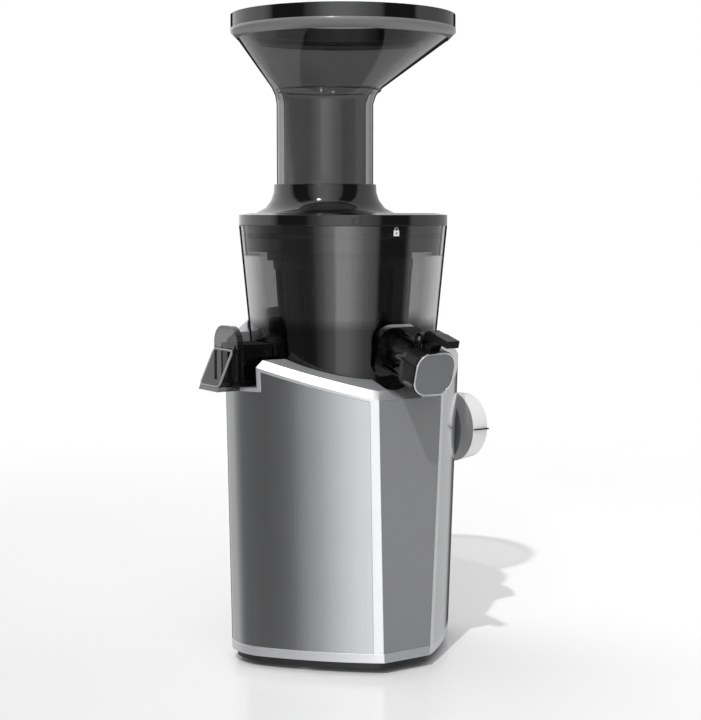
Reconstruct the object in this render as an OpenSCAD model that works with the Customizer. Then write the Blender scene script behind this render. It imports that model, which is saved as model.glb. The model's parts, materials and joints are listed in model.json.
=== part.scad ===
// Cold press juicer: motor base, juicing bowl, auger, strainer, lid and feeding hopper.
// Millimetres. The origin lies on the table under the bowl's axis, Z points up,
// the juice spout points to -Y, the pulp outlet to -X and the knob to +X.

/* [Motor base] */
// Height of the silver plinth's underside above the table
stand_h = 7.5; // [6:0.5:12]
// Height of the plinth band
plinth_h = 6; // [4:0.5:10]
// Width of the base across its widest line, at the plinth
side_w_base = 161; // [158:1:166]
// The same width where the base would reach its full height
side_w_top = 172; // [170:1:178]
// Distance from the bowl's axis to the flat front, at the plinth
front_y_base = 74.4; // [73:0.2:77]
// The same distance at full height
front_y_top = 78.4; // [77.6:0.2:81]
// Width of the flat front panel at the plinth
front_w_base = 35; // [30:1:38]
// Width of the flat front panel at full height
front_w_top = 52; // [46:1:54]
// Radius of the rounded back at the plinth
back_r_base = 62.5; // [61:0.5:65]
// Radius of the rounded back at full height
back_r_top = 67.2; // [66:0.2:70]
// Height of the sloping deck at the bowl's axis
deck_z = 204.2; // [202:0.2:208]
// Slope of the deck, rising to the back
deck_tilt = 18.8; // [17:0.2:20]
// Width of the bright chamfer round the deck
chamfer = 4; // [3:0.5:6]
// Wall of the moulded housing
wall = 3.5; // [3:0.25:4]
// Thickness of the steel side panels
panel_t = 1; // [0.8:0.1:1.2]

/* [Bowl seat] */
// Gap between the bowl and the recess that takes it
recess_gap = 0.9; // [0.7:0.1:1.2]
// Height of the recess floor
seat_z = 170; // [168:0.5:172]
// Half width of the side notch for the pulp chute
notch_half = 21.5; // [20:0.5:24]
// Height of the notch's ledge
notch_z = 179.5; // [178:0.25:180]

/* [Juicing bowl] */
// Outer radius of the bowl at its rim
bowl_r = 68.1; // [67.5:0.1:69]
// Height of the bowl's rim
bowl_top_z = 280; // [276:1:284]
// Draft of the bowl's wall, in degrees
bowl_draft = 5.4; // [5.2:0.1:5.6]
// Wall of the bowl
bowl_t = 2.6; // [2.2:0.1:3]
// Height of the bowl's inner floor
floor_z = 189; // [188:0.5:190]

/* [Juice spout] */
// Height of the spout's axis where it leaves the bowl
spout_z = 202.5; // [202:0.25:204]
// Slope of the spout below level
spout_tilt = 15.4; // [14:0.2:17]
// Length of the spout's axis, from the bowl's wall to the face of the cap
spout_len = 44; // [42:0.5:48]
// Outer diameter of the spout tube
spout_d = 27; // [25:0.5:28]
// Bore of the spout tube
spout_bore = 21; // [19:0.5:22]
// Side of the square flange and cap
cap_w = 30; // [29:0.5:32]

/* [Pulp outlet] */
// Outer width of the pulp chute
chute_w = 27; // [24:0.5:29]
// Height of the chute's underside
chute_z = 181; // [180.5:0.25:182]
// Outer height of the chute
chute_h = 25; // [23:0.5:26]
// How far inside the base's side wall the chute's mouth stands
chute_in = 0.57; // [0.2:0.01:2]

/* [Lid and hopper] */
// Height of the lid's dark band
band_h = 7; // [6:0.5:9]
// Depth of the lid's skirt inside the bowl
skirt_h = 16.5; // [14:0.5:20]
// Outer radius of the feeding tube
tube_r = 32; // [30:0.5:33]
// Bore radius of the feeding tube
tube_bore_r = 27; // [25:0.5:27.5]
// Distance of the feeding tube behind the bowl's axis
tube_y = 22; // [20:0.5:24]
// Height of the joint between the lid's collar and the hopper
collar_z = 307; // [304:1:312]
// Height where the feeding tube opens into the funnel
throat_z = 362; // [356:1:368]
// Outer radius of the funnel's rim
rim_r = 72.7; // [70:0.1:76]
// Height of the top of the rim, which is the height of the whole machine
rim_z = 415; // [408:1:420]
// Height of the rim's upright band
rim_h = 11; // [9:0.5:13]

/* [Knob] */
// Height of the knob's axis
knob_z = 141; // [138:0.5:142]
// Radius of the knob where it leaves the base
knob_r = 25; // [22:0.5:25]
// Radius of the knob at its outer face
knob_tip_r = 20.2; // [18:0.2:21]
// Distance from the bowl's axis to the knob's face
knob_x = 105; // [103:0.5:108]

/* [Drive] */
// Module of the motor's reduction gears
drive_mod = 1.15; // [1.1:0.01:1.15]
// Width across the flats of the drive shaft
hex_af = 12; // [11:0.5:13]
// Diameter of the motor's stator
stator_d = 72; // [66:1:76]

/* [Auger and strainer] */
// Radius of the strainer at its foot
strainer_r_base = 41; // [40:0.5:42]
// Radius of the strainer at its top
strainer_r_top = 46; // [44:0.5:47]
// Number of flights on the auger
flights = 3; // [2:1:4]
// Turn of each flight from foot to tip, in degrees
flight_turn = 300; // [240:10:360]

/* [Hidden] */
$fn = 64;

// One overrun serves all cuts
over = 1;
// Clearance between pieces that lift apart
lift_gap = 0.4;
// Clearance under a piece that stands on another body
seat_gap = 0.3;
// Clearance round a piece that turns in another
run_gap = 0.4;
// Radial clearance of a running shaft
shaft_gap = 0.06;
// Clearance between fixed covers
fit_gap = 0.15;
// Half size of the block that stands for a half space
far = 400;

// Full height at which the upper plan sizes of the base hold
full_z = 240;
// Corner radii of the plan: front part of each side corner, rear part at foot and top
side_front_r = 34;
side_rear_r_base = 22;
side_rear_r_top = 36;
// Radius of the bowed side panels
bow_r_base = 260;
bow_r_top = 282;
// Width of the strip beside the front panel, and how far its outer edge lies back
strip_w_base = 5.52;
strip_w_top = 4.36;
strip_back_base = 3.8;
strip_back_top = 3.26;
// Place of the widest line along Y
wide_y_base = 2;
wide_y_top = -3;
// Arc steps of the plan outline
arc_steps = 8;

function mix(a, b, t) = a + (b - a) * t;
function level(z) = (z - stand_h) / (full_z - stand_h);
function side_half(z) = mix(side_w_base, side_w_top, level(z)) / 2;
function polar(c, r, a) = [c[0] + r * cos(a), c[1] + r * sin(a)];
function heading(v) = atan2(v[1], v[0]);

// Centre of a bow of radius r that touches the corner arc (c, r_c) and ends at the point p
function bow_centre(c, r_c, p, r) =
    let (arm = r - r_c, reach = norm(p - c),
         lean = acos((arm * arm + reach * reach - r * r) / (2 * arm * reach)))
    polar(c, arm, heading(p - c) - lean);

// Right half of the plan outline at height z, drawn in by i, from the front to the back
function half_ring(z, i) =
    let (t = level(z),
         half_w = side_half(z),
         front_y = mix(front_y_base, front_y_top, t),
         front_half = mix(front_w_base, front_w_top, t) / 2,
         back_r = mix(back_r_base, back_r_top, t),
         rear_r = mix(side_rear_r_base, side_rear_r_top, t),
         bow_r = mix(bow_r_base, bow_r_top, t),
         wide_y = mix(wide_y_base, wide_y_top, t),
         edge = [front_half + mix(strip_w_base, strip_w_top, t),
                 mix(strip_back_base, strip_back_top, t) - front_y],
         front_c = [half_w - side_front_r, wide_y],
         rear_c = [half_w - rear_r, wide_y],
         bow_c = bow_centre(front_c, side_front_r, edge, bow_r),
         bow_start = heading(front_c - bow_c),
         bow_end = heading(edge - bow_c),
         tangent = heading(rear_c) + acos((back_r - rear_r) / norm(rear_c)))
    concat(
        [[front_half - i / 2, -(front_y - i)]],
        [for (k = [0:arc_steps]) polar(bow_c, bow_r - i, mix(bow_end, bow_start, k / arc_steps))],
        [for (k = [1:arc_steps]) polar(front_c, side_front_r - i, mix(bow_start, 0, k / arc_steps))],
        [for (k = [1:arc_steps]) polar(rear_c, rear_r - i, mix(0, tangent, k / arc_steps))],
        [for (k = [0:arc_steps * 2 - 1])
            polar([0, 0], back_r - i, mix(tangent, 90, k / (arc_steps * 2)))]);

function mirrored(half) = [for (k = [len(half) - 1:-1:0]) [-half[k][0], half[k][1]]];
function full_ring(z, i) = let (h = half_ring(z, i)) concat(h, mirrored(h));
function lifted(ring, z) = [for (p = ring) [p[0], p[1], z]];

// A solid through rings with the same number of points, one at each height
module tower(rings, heights) {
    n = len(rings[0]);
    m = len(rings);
    polyhedron(
        points = [for (j = [0:m - 1]) each lifted(rings[j], heights[j])],
        faces = concat(
            [[for (k = [0:n - 1]) k]],
            [[for (k = [n - 1:-1:0]) (m - 1) * n + k]],
            [for (j = [0:m - 2], k = [0:n - 1]) [j * n + k, (j + 1) * n + k, j * n + (k + 1) % n]],
            [for (j = [0:m - 2], k = [0:n - 1])
                [(j + 1) * n + k, (j + 1) * n + (k + 1) % n, j * n + (k + 1) % n]]),
        convexity = 4);
}

module loft(lower, upper, z0, z1) {
    tower([lower, upper], [z0, z1]);
}

// The tapering mass of the base, drawn in by i
module mass(i) {
    loft(full_ring(stand_h, i), full_ring(full_z, i), stand_h, full_z);
}

// Everything under the deck's plane, lowered by c square to it
module under_deck(c) {
    translate([0, 0, deck_z]) rotate([deck_tilt, 0, 0])
        translate([-far, -far, -2 * far - c]) cube([2 * far, 2 * far, 2 * far]);
}

module slab(z0, z1) {
    translate([-far, -far, z0]) cube([2 * far, 2 * far, z1 - z0]);
}

// Rounded rectangle about the origin, made of exact arcs
module round_rect(w, d, r) {
    square([w - 2 * r, d], center = true);
    square([w, d - 2 * r], center = true);
    for (x = [-1, 1], y = [-1, 1])
        translate([x * (w / 2 - r), y * (d / 2 - r)]) circle(r);
}

module ring_solid(r_out, r_in, z0, z1) {
    translate([0, 0, z0]) difference() {
        cylinder(r = r_out, h = z1 - z0);
        translate([0, 0, -over]) cylinder(r = r_in, h = z1 - z0 + 2 * over);
    }
}

// Toothed wheels: involute flanks through the base, pitch and tip circles
pressure = 25;
addendum_share = 0.9;
dedendum_share = 1.25;
backlash = 0.3;
flank_steps = 3;
function inv(a) = tan(a) * 180 / PI - a;
function gear_pitch_r(teeth, m) = teeth * m / 2;
function flank_r(teeth, m, s) =
    mix(max(gear_pitch_r(teeth, m) * cos(pressure), gear_pitch_r(teeth, m) - m),
        gear_pitch_r(teeth, m) + addendum_share * m, s);
function flank_a(teeth, m, r, slack) =
    let (rp = gear_pitch_r(teeth, m), rb = rp * cos(pressure))
    90 / teeth + inv(pressure) - inv(acos(min(1, rb / r))) - slack / 2 / rp * 180 / PI;

module gear_2d(teeth, m, slack) {
    root_r = gear_pitch_r(teeth, m) - dedendum_share * m;
    foot_a = flank_a(teeth, m, flank_r(teeth, m, 0), slack);
    polygon([for (k = [0:teeth - 1])
        let (c = 360 * k / teeth)
        each concat(
            [polar([0, 0], root_r, c - foot_a)],
            [for (s = [0:flank_steps])
                let (r = flank_r(teeth, m, s / flank_steps))
                polar([0, 0], r, c - flank_a(teeth, m, r, slack))],
            [for (s = [flank_steps:-1:0])
                let (r = flank_r(teeth, m, s / flank_steps))
                polar([0, 0], r, c + flank_a(teeth, m, r, slack))],
            [polar([0, 0], root_r, c + foot_a)])]);
}

// MOTOR BASE

// Height of the base plate's underside
plate_z = 3;
plate_inset = 3.5;
plate_t = 3;
plinth_inset = 5;
rim_up = 4;
foot_d = 13;
foot_stud_d = 5;
foot_stud_h = 2.4;
// Places of the four feet: front, back, left and right
foot_in_front = 18.4;
foot_in_back = 12.5;
foot_in_side = 18.5;
foot_front_y = foot_in_front - front_y_base;
foot_back_y = back_r_base - foot_in_back;
foot_side_x = side_w_base / 2 - foot_in_side;
foot_places = [[0, foot_front_y], [0, foot_back_y], [-foot_side_x, 0], [foot_side_x, 0]];
vent_w = 2.5;
vent_len = 30;
vent_pitch = 6;
vent_rows = 5;
screw_d = 3;
screw_head_d = 6;
screw_head_h = 2;
// The screw posts stand on the plan drawn in by this much
post_inset = 7;
post_back_share = 0.83;
post_d = 10;
post_h = 30;
screw_up = 12;

plinth_top = stand_h + plinth_h;
post_ring = half_ring(plinth_top, post_inset);
screw_front = post_ring[arc_steps - 2];
screw_back = mix(post_ring[3 * arc_steps + 1], post_ring[3 * arc_steps + 2], post_back_share);
recess_floor_t = 3;
// Underside of the recess floor, which is the roof of the motor room
roof_z = seat_z - recess_floor_t;

module base_plate() color("#26282a") difference() {
    union() {
        loft(full_ring(stand_h, plate_inset), full_ring(stand_h, plate_inset), plate_z, stand_h);
        intersection() {
            mass(plinth_inset + fit_gap);
            slab(stand_h - over, plinth_top - fit_gap);
        }
    }
    intersection() {
        mass(plinth_inset + plate_t);
        slab(stand_h, plinth_top + over);
    }
    translate([0, 0, plate_z + plate_t]) linear_extrude(stand_h)
        polygon(full_ring(stand_h, plinth_inset + plate_t));
    for (p = foot_places) translate([p[0], p[1], plate_z - over])
        cylinder(d = foot_stud_d + 2 * fit_gap, h = foot_stud_h + over);
    for (k = [-vent_rows:vent_rows]) translate([k * vent_pitch, 0, 0])
        translate([-vent_w / 2, -vent_len / 2, plate_z - over])
            cube([vent_w, vent_len, plate_t + 2 * over]);
    at_base_screws() translate([0, 0, plate_z - over]) {
        cylinder(d = screw_d + 2 * fit_gap, h = full_z);
        cylinder(d = screw_head_d + 2 * fit_gap, h = screw_head_h + over);
    }
}

module at_base_screws() for (p = [screw_front, screw_back], s = [-1, 1])
    translate([s * p[0], p[1], 0]) children();

module feet() color("#101112") for (p = foot_places) translate([p[0], p[1], 0]) {
    cylinder(d = foot_d, h = plate_z);
    cylinder(d = foot_stud_d, h = plate_z + foot_stud_h);
}

module base_screws() color("#9a9c9e") at_base_screws() translate([0, 0, plate_z]) {
    cylinder(d = screw_head_d, h = screw_head_h);
    cylinder(d = screw_d, h = plinth_top + screw_up - plate_z);
}

module plinth_band() color("#c9cbcd") difference() {
    intersection() {
        mass(0);
        slab(stand_h, plinth_top);
    }
    intersection() {
        mass(plinth_inset);
        slab(stand_h - over, plinth_top + over);
    }
}

// The trim that stays silver between chamfer and side panel
trim_h = 2;
notch_trim = 2.3;
front_t = 2;
rear_half = 30;
rear_top_z = 150;
strip_lap = 0.2;

// A sloping edge that follows a corner of the plan outline, as an upright wedge of half width x
module between_edges(x_base, x_top, y0, y1) {
    rotate([90, 0, 0]) translate([0, 0, -y1]) linear_extrude(y1 - y0) polygon([
        [-x_base, stand_h - over], [x_base, stand_h - over],
        [x_top, full_z + over], [-x_top, full_z + over]]);
}

front_edge_base = half_ring(stand_h, 0)[0][0];
front_edge_top = half_ring(full_z, 0)[0][0];
strip_edge_base = half_ring(stand_h, 0)[1][0];
strip_edge_top = half_ring(full_z, 0)[1][0];

module notch(margin, z_margin) {
    translate([-far, -notch_half - margin, notch_z - z_margin])
        cube([far - tube_r, 2 * (notch_half + margin), far]);
}

// The round cup that takes the bowl, from height z0 up, wider by w
module cup(w, z0) {
    translate([0, 0, z0]) cylinder(r1 = bowl_out(z0) + recess_gap + w,
        r2 = bowl_out(full_z) + recess_gap + w, h = full_z - z0, $fn = 96);
}

// Room of one side panel, on the side s
module side_room(s, gap) {
    difference() {
        intersection() {
            slab(plinth_top + gap, full_z);
            under_deck(chamfer + trim_h + gap);
            translate([s > 0 ? gap : -far, -far, 0]) cube([far - gap, 2 * far, full_z]);
        }
        between_edges(strip_edge_base + gap, strip_edge_top + gap, -far, 0);
        translate([-rear_half - gap, 0, 0])
            cube([2 * (rear_half + gap), far, rear_top_z + gap]);
        notch(notch_trim + gap, notch_trim + gap);
    }
}

module front_room(gap) {
    intersection() {
        slab(plinth_top + gap, full_z);
        under_deck(chamfer + gap);
        between_edges(front_edge_base - gap, front_edge_top - gap, -far, 0);
    }
}

dish_r = knob_r + 2;
bezel_t = 2;
dish_depth = 6;
// Floor of the dish, below the widest place of the side wall
dish_x = side_half(knob_z) - dish_depth;

module along_knob(x0) {
    translate([x0, 0, knob_z]) rotate([0, 90, 0]) children();
}

module dish_hole(r) {
    along_knob(dish_x - dish_r) cylinder(r = r, h = far, $fn = 96);
}

shaft_hole_r = 12;
scoop_r = 22;
scoop_drop = 2.5;

module spout_frame() {
    translate([0, -spout_root_y, spout_z]) rotate([90 + spout_tilt, 0, 0]) children();
}

module housing() color("#c4c6c8") difference() {
    intersection() {
        hull() {
            intersection() { mass(0); under_deck(chamfer); }
            intersection() { mass(chamfer); under_deck(0); }
        }
        slab(plinth_top, full_z);
    }
    difference() {
        intersection() { mass(wall); under_deck(chamfer + wall); }
        cup(wall, roof_z);
        notch(wall, wall);
        at_base_screws() translate([0, 0, plinth_top]) cylinder(d = post_d, h = post_h);
    }
    at_base_screws() translate([0, 0, plinth_top - over]) cylinder(d = screw_d, h = screw_up + over);
    at_posts() translate([0, 0, roof_z - over]) cylinder(d = screw_d, h = roof_screw + over);
    cup(0, seat_z);
    notch(0, 0);
    for (s = [-1, 1]) difference() { side_room(s, 0); mass(panel_t); }
    difference() { front_room(0); mass(front_t); }
    translate([-rear_half, 0, plinth_top - over])
        cube([2 * rear_half, far, rear_top_z - plinth_top + over]);
    dish_hole(dish_r);
    translate([0, 0, roof_z - over]) cylinder(r = shaft_hole_r, h = wall + 2 * over);
    spout_frame() translate([0, -scoop_drop, 0]) cylinder(r = scoop_r, h = far);
}

module side_panel(s) {
    difference() {
        intersection() { mass(0); side_room(s, fit_gap / 2); }
        mass(panel_t);
        if (s > 0) dish_hole(dish_r + fit_gap);
    }
}

module left_panel() color("#8d9092") side_panel(-1);
module right_panel() color("#8d9092") side_panel(1);

module front_panel() color("#7b7d7f") difference() {
    intersection() { mass(0); front_room(fit_gap); }
    mass(front_t);
}

grille_w = 3;
grille_pitch = 7;
grille_half = 22;
grille_z = 60;
grille_rows = 8;
gland_z = 28;
gland_r = 7;
gland_len = 14;
gland_bore_r = 3.6;
gland_lip = 2;

module rear_cover() color("#303234") difference() {
    intersection() {
        mass(0);
        translate([-rear_half + fit_gap, 0, plinth_top])
            cube([2 * (rear_half - fit_gap), far, rear_top_z - plinth_top - fit_gap]);
    }
    mass(wall);
    for (k = [0:grille_rows - 1]) translate([-grille_half, 0, grille_z + k * grille_pitch])
        cube([2 * grille_half, far, grille_w]);
    translate([0, 0, gland_z]) rotate([-90, 0, 0]) cylinder(r = gland_r + fit_gap, h = far);
}

// Rear face of the base at the gland's height
gland_y = mix(back_r_base, back_r_top, level(gland_z));
module cord_gland() color("#161718") translate([0, gland_y, gland_z]) rotate([-90, 0, 0])
    difference() {
        union() {
            translate([0, 0, -wall - gland_lip]) cylinder(r = gland_r, h = wall + gland_lip);
            cylinder(r1 = gland_r + gland_lip, r2 = gland_bore_r + gland_lip, h = gland_len);
            translate([0, 0, -wall - 2 * gland_lip]) cylinder(r = gland_r + gland_lip, h = gland_lip);
        }
        translate([0, 0, -far / 2]) cylinder(r = gland_bore_r, h = far);
    }

knob_shaft_r = 3;
module knob_bezel() color("#9fa1a3") difference() {
    intersection() { mass(0); dish_hole(dish_r); }
    along_knob(dish_x) cylinder(r = dish_r - bezel_t / 2, h = far, $fn = 96);
    intersection() {
        mass(wall);
        translate([0, -far, 0]) cube([dish_x - bezel_t, 2 * far, full_z]);
    }
    along_knob(0) cylinder(r = knob_shaft_r + run_gap, h = far);
}

// DRIVE: motor, two-stage reduction and output shaft

drive_small = 12;
drive_big = 48;
drive_cd = gear_pitch_r(drive_small + drive_big, drive_mod);
case_z = 104;
case_t = 3;
stage1_z = 110;
stage1_h = 8;
stage2_z = 120;
stage2_h = 12;
cover_z = 138;
cover_t = 4;
motor_shaft_r = 4;
axle_r = 3;
case_clear = 3;
big_tip_r = gear_pitch_r(drive_big, drive_mod) + drive_mod;
case_r = big_tip_r + case_clear;
stator_z0 = 36;
stator_z1 = 92;
rotor_r = 20;
air_gap = 0.6;
bracket_t = 4;
bearing_r = 9;
bearing_h = 6;
hex_r = hex_af / 2 / cos(30);
journal_r = 8;
journal_room = 1.5;
journal_up = 4;
seal_lip_w = 2;
seal_lip_t = 1.5;
out_bearing_r = 14;
out_bearing_h = 9;
hex_up = 24;
hex_top_z = floor_z + hex_up;
case_post_r = 4;
case_post_out = 5;
case_post_angle = 42;
case_post_angle_idler = 105;
roof_screw = 2.4;
fan_z = 20;
fan_h = 9;
fan_r = 30;
fan_hub_r = 10;
fan_blades = 9;
fan_blade_t = 1.6;
fan_disc_t = 1.5;
fan_lap = 1;

module case_plan(r) {
    circle(r);
    translate([-drive_cd, 0]) circle(r);
    translate([-drive_cd, -r]) square([drive_cd, 2 * r]);
}

case_post_places = [for (s = [-1, 1]) each [
    polar([0, 0], case_r + case_post_out, s * case_post_angle),
    polar([-drive_cd, 0], case_r + case_post_out, s * case_post_angle_idler)]];
module at_posts() for (p = case_post_places) translate([p[0], p[1], 0]) children();

module gear_case() color("#3a3c3e") difference() {
    union() {
        translate([0, 0, case_z]) linear_extrude(cover_z - case_z) case_plan(case_r + case_t);
        translate([0, 0, case_z]) cylinder(r = bracket_r, h = case_t);
        at_posts() translate([0, 0, case_z]) cylinder(r = case_post_r, h = cover_z - case_z);
    }
    translate([0, 0, case_z + case_t]) linear_extrude(far) case_plan(case_r);
    translate([0, 0, case_z - over]) cylinder(r = bearing_r + fit_gap, h = case_t + 2 * over);
    translate([-drive_cd, 0, case_z - over]) cylinder(r = axle_r, h = case_t + 2 * over);
    at_posts() translate([0, 0, case_z - over])
        cylinder(r = screw_d / 2 + fit_gap, h = far);
}

module gear_cover() color("#3f4143") difference() {
    union() {
        translate([0, 0, cover_z]) linear_extrude(cover_t) case_plan(case_r + case_t);
        translate([0, 0, cover_z]) cylinder(r = out_bearing_r + case_t, h = out_bearing_h + cover_t);
        at_posts() translate([0, 0, cover_z])
            cylinder(r = case_post_r, h = roof_z - cover_z);
    }
    translate([0, 0, cover_z - over]) cylinder(r = journal_r + journal_room, h = far);
    translate([0, 0, cover_z + cover_t]) cylinder(r = out_bearing_r, h = far);
    translate([-drive_cd, 0, cover_z - over]) cylinder(r = axle_r, h = cover_t + 2 * over);
    at_posts() translate([0, 0, cover_z - over])
        cylinder(r = screw_d / 2 + fit_gap, h = far);
}

module gearbox_screws() color("#a4a6a8") at_posts() {
    translate([0, 0, case_z - screw_head_h]) cylinder(r = screw_head_d / 2, h = screw_head_h);
    translate([0, 0, case_z - screw_head_h])
        cylinder(r = screw_d / 2, h = roof_z + roof_screw - case_z + screw_head_h);
}

module shaft_bearing() color("#b8babc")
    ring_solid(out_bearing_r, journal_r + shaft_gap,
               cover_z + cover_t, cover_z + cover_t + out_bearing_h);

module shaft_seal() color("#1b1c1d") union() {
    ring_solid(shaft_hole_r - fit_gap, journal_r + run_gap, roof_z, seat_z);
    ring_solid(shaft_hole_r + seal_lip_w, journal_r + run_gap, seat_z, seat_z + seal_lip_t);
}

bracket_lip = 3;
bracket_r = stator_d / 2 + bracket_lip;
motor_post_r = 2.8;
motor_post_in = 2;
bearing_wall = 2;
motor_post_angles = [10, 100, 190, 280];
module motor_frame() color("#7c7f82") difference() {
    union() {
        for (z = [stator_z0 - bracket_t, stator_z1])
            translate([0, 0, z]) cylinder(r = bracket_r, h = bracket_t);
        translate([0, 0, stator_z0 - bracket_t]) cylinder(r = bearing_r + bearing_wall, h = bracket_t);
        for (a = motor_post_angles) rotate(a)
            translate([bracket_r - motor_post_in, 0, stator_z0 - bracket_t])
                cylinder(r = motor_post_r, h = case_z - stator_z0 + bracket_t);
    }
    translate([0, 0, stator_z0]) cylinder(r = stator_d / 2, h = stator_z1 - stator_z0);
    translate([0, 0, stator_z0 - bracket_t - over]) cylinder(r = bearing_r, h = bearing_h + over);
    translate([0, 0, stator_z1 - over]) cylinder(r = rotor_r, h = far);
}

coil_room = 12;
module stator() color("#6b6e70") difference() {
    translate([0, 0, stator_z0 + coil_room])
        cylinder(r = stator_d / 2 - fit_gap, h = stator_z1 - stator_z0 - 2 * coil_room);
    translate([0, 0, stator_z0]) cylinder(r = rotor_r + air_gap, h = stator_z1);
}

coil_w = 12;
coil_h = 10;
coil_corner = 3;
coil_end = 2;
coil_out = 1;
module field_coils() color("#b5713a")
    for (z = [stator_z0 + coil_end + coil_h / 2, stator_z1 - coil_end - coil_h / 2])
        translate([0, 0, z]) rotate_extrude()
            translate([(stator_d / 2 + rotor_r) / 2 + coil_out, 0])
                round_rect(coil_w, coil_h, coil_corner);

module motor_bearings() color("#c2c4c6") {
    ring_solid(bearing_r, motor_shaft_r + shaft_gap, stator_z0 - bracket_t,
               stator_z0 - bracket_t + bearing_h);
    ring_solid(bearing_r, motor_shaft_r + shaft_gap, case_z - bearing_h + case_t, case_z + case_t);
}

rotor_in = 10;
module rotor() color("#8a8d90")
    ring_solid(rotor_r, motor_shaft_r, stator_z0 + rotor_in, stator_z1 - rotor_in);

module motor_shaft() color("#d0d2d4") translate([0, 0, fan_z])
    cylinder(r = motor_shaft_r, h = stage1_z + stage1_h - fan_z);

module motor_pinion() color("#a9abad") difference() {
    translate([0, 0, stage1_z]) linear_extrude(stage1_h) gear_2d(drive_small, drive_mod, backlash);
    translate([0, 0, stage1_z - over]) cylinder(r = motor_shaft_r, h = stage1_h + 2 * over);
}

module cooling_fan() color("#2d6a8a") difference() {
    union() {
        translate([0, 0, fan_z]) cylinder(r = fan_hub_r, h = fan_h);
        translate([0, 0, fan_z + fan_h - fan_disc_t]) cylinder(r = fan_r, h = fan_disc_t);
        for (k = [0:fan_blades - 1]) rotate(k * 360 / fan_blades)
            translate([fan_hub_r - fan_lap, -fan_blade_t / 2, fan_z])
                cube([fan_r - fan_hub_r, fan_blade_t, fan_h]);
    }
    translate([0, 0, fan_z - over]) cylinder(r = motor_shaft_r, h = fan_h + 2 * over);
}

module idler_gear() color("#d8d4c4") translate([-drive_cd, 0, 0]) difference() {
    union() {
        translate([0, 0, stage1_z]) linear_extrude(stage1_h) rotate(180 / drive_big)
            gear_2d(drive_big, drive_mod, backlash);
        translate([0, 0, stage1_z + stage1_h]) linear_extrude(stage2_z + stage2_h - stage1_z - stage1_h)
            gear_2d(drive_small, drive_mod, backlash);
    }
    translate([0, 0, stage1_z - over])
        cylinder(r = axle_r + shaft_gap, h = stage2_z + stage2_h - stage1_z + 2 * over);
}

module idler_axle() color("#c8cacc") translate([-drive_cd, 0, case_z])
    cylinder(r = axle_r, h = cover_z + cover_t - case_z);

module output_gear() color("#d8d4c4") difference() {
    translate([0, 0, stage2_z]) linear_extrude(stage2_h) rotate(180 / drive_big)
        gear_2d(drive_big, drive_mod, backlash);
    translate([0, 0, stage2_z - over]) cylinder(r = hex_r, h = stage2_h + 2 * over, $fn = 6);
}

module drive_shaft() color("#d4d6d8") union() {
    translate([0, 0, stage2_z]) cylinder(r = hex_r, h = hex_top_z - stage2_z, $fn = 6);
    translate([0, 0, stage2_z + stage2_h]) cylinder(r = journal_r, h = seat_z + journal_up - stage2_z - stage2_h);
}

board_t = 1.6;
board_at = [34, -42];
board_w = 36;
board_h = 70;
module control_board() color("#2e6b3c") translate([board_at[0], board_at[1], plate_z + plate_t])
    rotate(45) cube([board_w, board_t, board_h]);

switch_w = 26;
switch_t = 14;
switch_bore = 4;
switch_x = dish_x - bezel_t - switch_t;
module selector_switch() color("#1d2a38") difference() {
    translate([switch_x, -switch_w / 2, knob_z - switch_w / 2]) cube([switch_t, switch_w, switch_w]);
    along_knob(switch_x + knob_edge - fit_gap) cylinder(r = knob_shaft_r + shaft_gap, h = far);
}

// JUICING BOWL

function bowl_out(z) = bowl_r - (bowl_top_z - z) * tan(bowl_draft);
spout_root_y = bowl_out(spout_z) - over;
hub_r = 13;
hub_bore_r = 9.5;
hub_h = 9;
hub_top_z = floor_z + hub_h;
floor_t = 3;
hub_foot_z = seat_z + floor_t;
collar_w = 34;
collar_t = 5;
collar_r = 10;
flange_t = 4;
flange_at = 27;
cap_corner_r = 10;
cap_lower = 2;
cap_h = cap_w - cap_lower;
hinge_at = 31.7;
hinge_up = 19;
hinge_pin_r = 1.5;
hinge_half = 7;
knuckle_r = 3.6;
ear_t = 3;
chute_t = 2.2;
chute_x = side_half(notch_z) - chute_in;
duct_half = chute_w / 2 - chute_t;
duct_top_z = chute_z + chute_h - chute_t;

module bowl_profile(i, z0, z1) {
    translate([0, 0, z0])
        cylinder(r1 = bowl_out(z0) - i, r2 = bowl_out(z1) - i, h = z1 - z0, $fn = 96);
}

// A block of the pulp chute, grown by g, from x0 to x1 on the left
module chute_block(g, x0, x1) {
    translate([-x1, -chute_w / 2 - g, chute_z - g])
        cube([x1 - x0, chute_w + 2 * g, chute_h + 2 * g]);
}

// A flat shape drawn in the spout's height and length, extruded from x0 over the width w
module spout_side(x0, w) {
    translate([x0, 0, 0]) rotate([90, 0, 90]) linear_extrude(w) children();
}

module hinge_ear(x0) {
    spout_side(x0, ear_t) difference() {
        union() {
            translate([hinge_up, hinge_at]) circle(knuckle_r);
            translate([cap_h / 2 - knuckle_r, flange_at])
                square([hinge_up - cap_h / 2 + knuckle_r, flange_t]);
        }
        translate([hinge_up, hinge_at]) circle(hinge_pin_r, $fn = 32);
    }
}

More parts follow.
